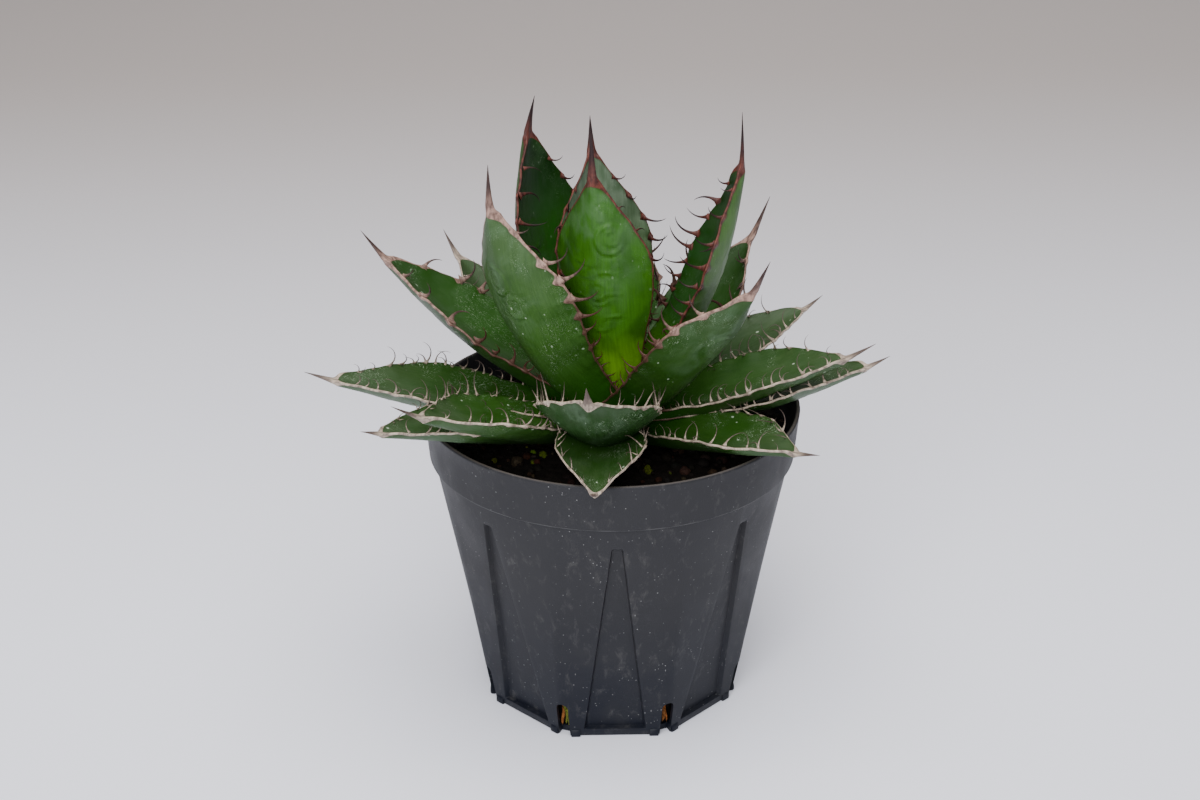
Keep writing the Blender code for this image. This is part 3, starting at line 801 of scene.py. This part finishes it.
def make_soil():
    rng = random.Random(4)
    turns = full_turn(240)
    rings = []
    for height in np.linspace(FLOOR + GAP, SOIL_TOP - SOIL_EDGE_DROP, 60):
        radius = body_radius(turns, height) - WALL - PANEL_DEPTH - GAP
        if height > COLLAR_BOTTOM:
            radius = np.full(len(turns), COLLAR_BOTTOM_RADIUS - WALL - GAP)
        spots = [(math.cos(a) * 16, math.sin(a) * 16, height * 0.45) for a in turns]
        radius = radius - 0.5 - 0.5 * np.array([noise.noise(Vector(spot)) for spot in spots])
        rings.append(level_ring(radius, turns, height))
    outer = rings[-1]
    for share in np.linspace(0.99, 0.1, 75):
        ring = [(x * share, y * share, soil_height(x * share, y * share)) for x, y, _ in outer]
        rings.append(np.array(ring))
    shape = Shape()
    shape.skin(np.array(rings), grain_colour=GRAINS[0][1])
    grain = unit_grain()
    for _ in range(GRAIN_COUNT):
        reach = GRAINS_REACH * math.sqrt(rng.uniform(0.06, 1.0))
        angle = rng.uniform(0, 2 * math.pi)
        x, y = reach * math.cos(angle), reach * math.sin(angle)
        size = rng.uniform(0.45, 1.0) if rng.random() < 0.75 else rng.uniform(1.0, 1.9)
        add_grain(shape, grain, (x, y, soil_height(x, y) + size * 0.25), size, pick_grain(rng), rng)
    add_slit_litter(shape, grain, rng)
    soil = shape.to_object("potting_soil", soil_material(), colours=("grain_colour",))
    finish_piece(soil, "soil")


def add_slit_litter(shape, grain, rng):
    """Adds what shows through the drain slits."""
    for k in range(SIDES):
        outward, across = corner_axes(k)
        for _ in range(SLIT_GRAINS):
            height = rng.uniform(FLOOR + 0.6, SLIT_HEIGHT)
            reach = BASE_CORNER_RADIUS - 2.9 - rng.uniform(0.0, 1.0)
            centre = outward * reach + across * rng.uniform(-1.3, 1.3) + np.array([0, 0, height])
            colour = MOSS if rng.random() < MOSSY_SHARE else pick_grain(rng)
            add_grain(shape, grain, centre, rng.uniform(0.45, 0.9), colour, rng)
        for side in ROOTS_STAND_AT:
            colour = rng.choice(ROOTS)
            lean = rng.uniform(-0.5, 0.5)
            low = FLOOR + rng.uniform(0.2, 1.5)
            path = []
            for up in np.linspace(0, 1, 12):
                sway = side + lean * (up - 0.5) + 0.25 * math.sin(up * 7 + k + side)
                reach = BASE_CORNER_RADIUS - 2.1 + 0.3 * math.sin(up * 5 + k * 2 + side * 3)
                height = low + up * (SLIT_HEIGHT - low - 0.6)
                path.append(outward * reach + across * sway + np.array([0, 0, height]))
            add_tube(shape, np.array(path), across, rng.uniform(0.35, 0.6), grain_colour=colour)


def add_tube(shape, path, across, radius, **values):
    """A round strand along a path, closed and narrowed at both ends."""
    heading = np.gradient(path, axis=0)
    heading /= np.linalg.norm(heading, axis=1)[:, None]
    second = np.cross(heading, across)
    second /= np.linalg.norm(second, axis=1)[:, None]
    first = np.cross(second, heading)
    turns = full_turn(8)
    share = np.linspace(0, 1, len(path))
    size = radius * np.sqrt(np.clip(4 * share * (1 - share), 0.02, 1))[:, None, None]
    circle = first[:, None] * np.cos(turns)[:, None] + second[:, None] * np.sin(turns)[:, None]
    shape.skin(path[:, None] + circle * size, **values)


def make_stem():
    """The turned stem, with the shallow ridges of old leaf scars winding round it."""
    turns = full_turn(72)
    rings = []
    for height in np.linspace(STEM_PROFILE[0][0], STEM_PROFILE[-1][0], 90):
        radius = smooth_through(STEM_PROFILE, np.array(height))
        ridge = 0.12 * np.sin(height * 3.2 + turns * 3) + 0.08 * np.sin(height * 1.7 - turns * 5)
        rings.append(level_ring(radius - 0.2 + ridge * min(1.0, radius / 6), turns, height))
    shape = Shape()
    shape.skin(np.array(rings))
    stem = shape.to_object("short_stem", stem_material())
    finish_piece(stem, "stem")


def make_spear(material):
    """Young leaves rolled round each other: the edge of each shows as a winding step."""
    up = np.linspace(0, 0.995, 150)[:, None]
    turn = full_turn(96)[None, :]
    foot, swell, draw_in = SPEAR_PROFILE
    radius = SPEAR_RADIUS * (foot + swell * up + draw_in * up**2) - 0.1
    wound = (turn / (2 * math.pi) + 1.15 * up) % 1.0
    second = (turn / (2 * math.pi) - 0.7 * up + 0.45) % 1.0
    step = 0.10 * smoothstep(wound, 0.0, 0.06) * (1 - wound)
    step = step + 0.05 * smoothstep(second, 0.0, 0.05) * (1 - second)
    radius = radius * (0.9 + step)
    x = radius * np.cos(turn)
    y = radius * np.sin(turn) + SPEAR_LEAN * up
    z = np.broadcast_to(SPEAR_FOOT + SPEAR_HEIGHT * up, x.shape)
    edge = bell(np.minimum(wound, 1 - wound), 0.03) * 0.6 - 0.35
    horn = np.maximum(edge, (up - 0.86) * 12)
    point = np.broadcast_to(smoothstep(up, 0.85, 1.0), x.shape)
    low, high = np.array(OWN_BELOW["leaf_01"][0]), np.array(GREY_BELOW[2])
    green = low * (1 - up[..., None]) + high * up[..., None]
    shape = Shape()
    shape.skin(
        np.stack([x, y, z], -1),
        leaf_pos=np.stack([turn * SPEAR_RADIUS + 0 * up, up * SPEAR_HEIGHT + 0 * turn, 0 * x + 50], -1),
        leaf_mask=np.stack([horn, point, 0 * x], -1),
        leaf_green=np.broadcast_to(green, (*x.shape, 3)),
    )
    spear = shape.to_object("furled_heart", material, colours=("leaf_green",))
    finish_piece(spear, "heart_spear")


# Leaves ---------------------------------------------------------------------------------------


def along_path(at, fine, values):
    """Points or directions known at fine distances, read off at other distances."""
    return np.stack([np.interp(at, fine, values[:, axis]) for axis in range(3)], -1)


def leaf_frames(leaf, along):
    """Midrib points and the directions ahead, across and up, at distances along the leaf."""
    fine = np.linspace(-HIDDEN_FOOT, leaf.blade + leaf.spine, PATH_STATIONS)
    share = np.clip(fine / leaf.blade, 0.0, CURVE_ENDS)
    rise = np.radians(leaf.rise_foot + (leaf.rise_tip - leaf.rise_foot) * share)
    turn = math.radians(leaf.turn)
    out = np.array([math.cos(turn), math.sin(turn), 0.0])
    heading = np.outer(np.cos(rise), out) + np.outer(np.sin(rise), (0, 0, 1))
    steps = (heading[1:] + heading[:-1]) / 2 * np.diff(fine)[:, None]
    path = np.vstack([np.zeros(3), np.cumsum(steps, axis=0)])
    foot = out * leaf.foot_radius + np.array([0, 0, leaf.foot_height])
    path += foot - along_path(0.0, fine, path)
    middle = along_path(along, fine, path)
    ahead = along_path(along, fine, heading)
    across = np.array([-math.sin(turn), math.cos(turn), 0.0])
    up = np.cross(ahead, across)
    roll = math.radians(leaf.roll)
    rolled = math.cos(roll) * across + math.sin(roll) * up
    return middle, ahead, rolled, math.cos(roll) * up - math.sin(roll) * across


def half_width(leaf, along):
    """Half the leaf's width: the blade's outline, then a spine that narrows to a needle."""
    past = np.clip((along - leaf.blade) / leaf.spine, 0.0, 1.0)
    needle = (1 - past) * (0.62 + 0.38 * np.exp(-past / 0.16))
    return smooth_through(WIDTH_AT, along / leaf.blade) * leaf.width / 2 * needle


Tooth = namedtuple("Tooth", "at size")


def tooth_places(leaf, age, side, rng):
    """Where the teeth stand along one margin, and how big each is."""
    teeth = []
    at = leaf.blade * TEETH_FROM
    share_of_full = TOOTH_SHARE.get((leaf.name, side), 1.0)
    while at < leaf.blade * TEETH_TO:
        share = at / leaf.blade
        uneven = rng.uniform(1 - age.uneven, 1 + age.uneven / 2)
        size = float(smooth_through(TOOTH_AT, np.array(share))) * uneven * share_of_full
        teeth.append(Tooth(at, size))
        gap = age.gap_foot + (age.gap_tip - age.gap_foot) * min(1.0, share * 1.6)
        at += gap * rng.uniform(1 - age.uneven, 1 + age.uneven)
    return teeth


def bumps_at(along, teeth, width):
    """How far the margin stands out at each place, from 0 between teeth to 1 at a full tooth."""
    total = np.zeros_like(along)
    for tooth in teeth:
        total = np.maximum(total, tooth.size**2 * bell(along - tooth.at, width))
    return total


def greens_at(colours, leaf, along):
    """One face's green along the blade, from its colours at the foot, middle and end."""
    foot, middle, end = (np.array(colour) for colour in colours)
    share = np.clip(along / leaf.blade, 0.0, 1.0)
    low = smoothstep(share, 0.04, 0.36)[:, None]
    high = smoothstep(share, 0.45, 0.95)[:, None]
    return (foot * (1 - low) + middle * low) * (1 - high) + end * high


# Prints left in a leaf by its neighbour's teeth while both were furled: rings as their place
# across and along the blade, radius, and height
RINGS = {
    "leaf_01": (
        (3.0, 53.0, 1.6, 0.16),
        (3.2, 53.0, 0.4, 0.14),
        (4.4, 45.8, 3.3, 0.26),
        (5.2, 46.4, 1.7, 0.16),
        (4.2, 49.2, 0.9, 0.12),
        (1.0, 31.0, 2.0, 0.14),
    ),
    "leaf_05": ((-2.5, 48.0, 3.3, 0.28), (-2.2, 48.3, 1.6, 0.20), (1.5, 40.0, 2.6, 0.20)),
    "leaf_03": ((1.5, 45.0, 3.0, 0.16),),
    "leaf_06": ((0.0, 40.0, 3.4, 0.18),),
    "leaf_04": ((1.0, 44.0, 2.6, 0.16),),
}


def prints_at(leaf, across, along, half, rng):
    """The relief of those prints on both faces: scalloped lines, and rings on some leaves."""
    period = 6.5
    shift = rng.uniform(0, period)
    wave = abs(np.sin(math.pi * (along + shift) / period))
    inside = half * 0.52 - 1.6 * wave
    relief = 0.10 * bell(abs(across) - inside, 0.55) * smoothstep(along, 12.0, 20.0)
    relief = relief * smoothstep(leaf.blade - along, 6.0, 14.0)
    for x, s, radius, height in RINGS.get(leaf.name, ()):
        away = np.hypot(across - x, (along - s) * 0.85)
        relief = relief + height * bell(away - radius, 0.5)
        relief = relief - height * 0.6 * bell(away - radius - 1.0, 0.5)
    if leaf.name == "leaf_01":  # creased across its lower half
        for _ in range(13):
            x, s = rng.uniform(-5, 5), rng.uniform(12, 40)
            bend = s + 0.10 * (across - x) ** 2 * rng.choice([-1, 1])
            reach = bell(across - x, rng.uniform(1.4, 2.6))
            relief = relief + rng.uniform(0.08, 0.18) * bell(along - bend, 0.5) * reach
            relief = relief - 0.08 * bell(along - bend + 1.0, 0.5) * reach
    return relief


# How many sections a blade has, and points over, under and round each margin of a section
FINE_BLADE = (190, 47, 57, 3)
PLAIN_BLADE = (130, 31, 25, 3)


def add_blade(shape, leaf, age, teeth, seed, rng):
    """Skins the blade and its end spine."""
    rows, count_up, count_down, count_edge = PLAIN_BLADE if age is OUTER else FINE_BLADE
    blade = np.linspace(-HIDDEN_FOOT, leaf.blade, rows)
    spine = leaf.blade + leaf.spine * np.linspace(0, SPINE_END, SPINE_STATIONS)[1:]
    along = np.concatenate([blade, spine])
    middle, _, sideways, upward = leaf_frames(leaf, along)
    along = along[:, None]
    past = np.clip((along - leaf.blade) / leaf.spine, 0.0, 1.0)
    half = half_width(leaf, along)
    thick = smooth_through(THICKNESS_AT, along / leaf.blade) * leaf.width * LEAF_THICKNESS
    thick = thick * (1 - past) * (0.8 + 0.2 * np.exp(-past / 0.2))
    lift = CHANNEL * half * np.clip(1 - 4 * past, 0.0, 1.0)
    margin = np.minimum(MARGIN, thick * 0.6) / 2

    # Stations round a section: over the upper face, round the left margin, under and up again.
    # place is how far across the blade each lies, and turn its direction in the round spine.
    edge_turn = 0.12
    spread = np.linspace(1, -1, count_up)
    over = 0.5 * spread + 0.5 * np.sin(spread * math.pi / 2)
    spread = np.linspace(-1, 1, count_down)
    below = 0.5 * spread + 0.5 * np.sin(spread * math.pi / 2)
    turn_up = np.linspace(edge_turn, math.pi - edge_turn, count_up)
    turn_down = np.linspace(math.pi + edge_turn, 2 * math.pi - edge_turn, count_down)
    edge = np.linspace(0, math.pi, count_edge + 2)[1:-1]
    left = np.linspace(math.pi - edge_turn, math.pi + edge_turn, count_edge + 2)[1:-1]
    right = np.linspace(-edge_turn, edge_turn, count_edge + 2)[1:-1]
    turn = np.concatenate([turn_up, left, turn_down, right])[None, :]
    place = np.concatenate([over, -np.ones(count_edge), below, np.ones(count_edge)])[None, :]
    upper, lower = np.zeros(count_up), np.ones(count_down)
    is_under = np.concatenate([upper, edge / math.pi, lower, 1 - edge / math.pi])[None, :]

    # The two sides' bumps, faded in from the midrib so that only the margin moves
    bulge = np.where(place > 0, bumps_at(along, teeth[1], 1.0), bumps_at(along, teeth[-1], 1.0))
    bulge = bulge * age.stout * 0.55 * abs(place) ** 8 * (1 - smoothstep(past, 0.0, 0.1))
    flat = half - margin
    x = place * flat + np.sign(place) * bulge
    x = x + np.concatenate([upper, -np.sin(edge), lower * 0, np.sin(edge)]) * margin
    rise = lift * abs(place) ** CHANNEL_CURVE
    wobble = 0.3 * np.sin(along * 0.21 + seed) + 0.12 * np.sin(along * 0.47 + seed * 2.7)
    wobble = wobble * np.clip(1 - past * 5, 0, 1) * smoothstep(along, 4, 14) * place
    ripple = 0.12 * np.sin(along * 0.9 + seed * 5 + place * 2) * abs(place) ** 4
    ripple = ripple * (1 - smoothstep(past, 0, 0.1))
    relief = prints_at(leaf, x, along + 0 * x, half + 0 * x, rng)
    top = rise + relief
    deep = 2 * margin + (thick - 2 * margin) * (1 - place**2) + 0.25 * margin * bell(place, 0.18)
    bottom = rise - deep - relief
    arc = np.concatenate([upper, np.cos(edge), lower * 0, -np.cos(edge)])
    arc = rise - margin * (1 - arc)
    kind = np.concatenate([upper, np.ones(count_edge), lower * 2, np.ones(count_edge)])
    y = np.where(kind == 0, top, np.where(kind == 1, arc, bottom)) + wobble + ripple

    # The spine turns nearly round, with a faint groove along its upper side near the foot
    round_x = half * np.cos(turn)
    round_y = thick / 2 * np.sin(turn) - thick / 2
    round_y = round_y - 0.25 * thick * bell(turn - math.pi / 2, 0.35) * np.exp(-past / 0.25)
    blend = smoothstep(past, 0.0, 0.22)
    x = x * (1 - blend) + round_x * blend
    y = y * (1 - blend) + round_y * blend
    points = middle[:, None] + sideways[:, None] * x[..., None] + upward[:, None] * y[..., None]

    left_share, right_share = (TOOTH_SHARE.get((leaf.name, side), 1.0) for side in (-1, 1))
    toothed = np.where(place > 0, right_share, left_share)
    band = smooth_through(BORDER_AT, along / leaf.blade)
    band = band * (1 + (age.band - 1) * smoothstep(toothed, 0.0, 0.7))
    teeth_band = np.where(place > 0, bumps_at(along, teeth[1], 1.1), bumps_at(along, teeth[-1], 1.1))
    depth = np.maximum(half - abs(x), 0) + np.where(kind == 1, -0.4, 0.0)
    border = band + teeth_band * age.stout * 0.6 - depth + past * 40
    above = greens_at(OWN_ABOVE.get(leaf.name, age.above), leaf, along[:, 0])[:, None]
    below = greens_at(OWN_BELOW.get(leaf.name, age.below), leaf, along[:, 0])[:, None]
    green = above * (1 - is_under[..., None]) + below * is_under[..., None]
    tint = 1 + 0.10 * math.sin(seed * 7.1)
    shape.skin(
        points,
        leaf_pos=np.stack([x, along + 0 * x, seed * 10 + 0 * x], -1),
        leaf_mask=np.stack([border, past + 0 * x, is_under + 0 * x], -1),
        leaf_green=green * tint,
    )


def add_tooth(shape, leaf, age, tooth, side, seed, rng, share=1.0, lean=0.0):
    """One tooth: a flattened horn that leaves the margin towards the foot and hooks to the tip."""
    at = np.array([tooth.at])
    middle, ahead, sideways, upward = (part[0] for part in leaf_frames(leaf, at))
    half = float(half_width(leaf, at)[0])
    slope = math.atan(CHANNEL * CHANNEL_CURVE)
    outward = side * sideways * math.cos(slope) + upward * math.sin(slope)
    over = -side * sideways * math.sin(slope) + upward * math.cos(slope)
    length = age.tooth * tooth.size * share * rng.uniform(0.9, 1.15) + 0.9
    start = math.radians(rng.uniform(-38, -4) + lean)
    hook = math.radians(age.curl * rng.uniform(0.6, 1.25))
    low, high, way = OWN_TEETH.get((leaf.name, side), (*age.tilt, 1))
    if rng.random() < HOOKED_BACK:
        way = -way
    start, hook = start * way, hook * way
    tilt = math.radians(rng.uniform(low, high))
    first = math.cos(tilt) * outward + math.sin(tilt) * over
    steps = 15
    along = np.linspace(0, 1, steps)
    angle = start + hook * along**1.3
    heading = np.cos(angle)[:, None] * first + np.sin(angle)[:, None] * ahead
    beside = -np.sin(angle)[:, None] * first + np.cos(angle)[:, None] * ahead
    walk = np.vstack([np.zeros(3), np.cumsum(heading[:-1] * length / (steps - 1), axis=0)])
    root = middle + side * sideways * (half - 0.75) + upward * (CHANNEL * half - MARGIN / 2)
    path = root + outward * 0.1 + walk
    scale = max(tooth.size, 0.3) * math.sqrt(share)
    taper = (1 - along) ** 0.8
    wide = scale * (age.slim * taper + (age.stout - age.slim) * np.exp(-along * length / 0.85)) + 0.02
    deep = scale * age.slim * (0.9 * taper + 0.15 * np.exp(-along * length / 0.8)) + 0.02
    around = 10
    turns = full_turn(around)
    third = np.cross(heading, beside)
    ring = beside[:, None] * (np.cos(turns)[None, :] * wide[:, None])[..., None]
    ring = ring + third[:, None] * (np.sin(turns)[None, :] * deep[:, None])[..., None]
    grow = np.broadcast_to(along[:, None], (steps, around))
    green = greens_at(age.above, leaf, at)[0]
    spot = np.stack([side * (half + grow * length), tooth.at + 0 * grow, seed * 10 + 0 * grow], -1)
    mask = np.stack([0.4 + 3 * grow, grow, 0 * grow], -1)
    shape.skin(path[:, None] + ring, leaf_pos=spot, leaf_mask=mask, leaf_green=green)


def make_leaf(leaf, order, material):
    rng = random.Random(100 + order)
    age = AGE_OF[leaf.name]
    seed = 1.0 + order * 1.37
    teeth = {side: tooth_places(leaf, age, side, rng) for side in (-1, 1)}
    shape = Shape()
    add_blade(shape, leaf, age, teeth, seed, rng)
    for side in (-1, 1):
        for tooth in teeth[side]:
            add_tooth(shape, leaf, age, tooth, side, seed, rng)
            if tooth.size > 0.3 and rng.random() < age.forked:
                lean = rng.choice([-FORK_LEAN, FORK_LEAN])
                add_tooth(shape, leaf, age, tooth, side, seed, rng, share=FORK_SIZE, lean=lean)
    piece = shape.to_object(f"{leaf.name}_toothed", material, colours=("leaf_green",))
    finish_piece(piece, leaf.name)


# Stage ----------------------------------------------------------------------------------------


def make_stage():
    """A wide pale floor that curves up into a backdrop behind."""
    floor_front, floor_back, bend, wall_top = -2500.0, 1500.0, 700.0, 2600.0
    side = 3500.0
    profile = [(floor_front, 0.0)]
    for a in np.radians(np.linspace(0, 90, 25)):
        profile.append((floor_back + bend * math.sin(a), bend * (1 - math.cos(a))))
    profile.append((floor_back + bend, wall_top))
    count = len(profile)
    shape = Shape()
    shape.add_points(np.array([(x, y, z) for x in (-side, side) for y, z in profile]))
    shape.faces = [(i, i + count, i + count + 1, i + 1) for i in range(count - 1)]
    sweep = shape.to_object("sweep", stage_material())


def add_light(name, place, aim, size, power, colour):
    light = bpy.data.lights.new(name, "AREA")
    light.size = size * MM
    light.energy = power
    light.color = colour
    obj = show(name, light)
    obj.location = Vector(place) * MM
    obj.rotation_euler = (Vector(aim) - Vector(place)).to_track_quat("-Z", "Y").to_euler()


WARM = (1.0, 0.99, 0.98)
COOL = (0.98, 0.985, 1.0)


def make_lights():
    add_light("overhead", (0, -150, 1150), (0, 0, 60), size=1200, power=18.5, colour=WARM)
    add_light("front", (-250, -1000, 650), (0, -100, 40), size=800, power=16.0, colour=COOL)
    add_light("back", (200, 1100, 700), (0, 0, 80), size=1000, power=2.2, colour=WARM)
    world = bpy.data.worlds.new("studio")
    world.use_nodes = True
    background = world.node_tree.nodes["Background"]
    background.inputs["Color"].default_value = (0.95, 0.96, 1.0, 1.0)
    background.inputs["Strength"].default_value = 0.22
    bpy.context.scene.world = world


def make_camera():
    turn, rise = math.radians(CAMERA_TURN), math.radians(CAMERA_RISE)
    right = Vector((math.cos(turn), math.sin(turn), 0))
    aim = right * CAMERA_AIM_ACROSS + Vector((0, 0, CAMERA_AIM_HEIGHT))
    back = Vector((math.sin(turn) * math.cos(rise), -math.cos(turn) * math.cos(rise), math.sin(rise)))
    data = bpy.data.cameras.new("camera")
    data.lens = CAMERA_LENS
    data.clip_start = 0.05
    data.clip_end = 20.0
    camera = show("camera", data)
    camera.location = (aim + back * CAMERA_DISTANCE) * MM
    camera.rotation_euler = (-back).to_track_quat("-Z", "Y").to_euler()
    bpy.context.scene.camera = camera


def main():
    make_camera()
    make_lights()
    make_stage()
    make_pot()
    make_soil()
    make_stem()
    materials = {age: leaf_material(age) for age in (HEART, MIDDLE, OUTER)}
    make_spear(materials[HEART])
    for order, leaf in enumerate(LEAVES):
        make_leaf(leaf, order, materials[AGE_OF[leaf.name]])


main()
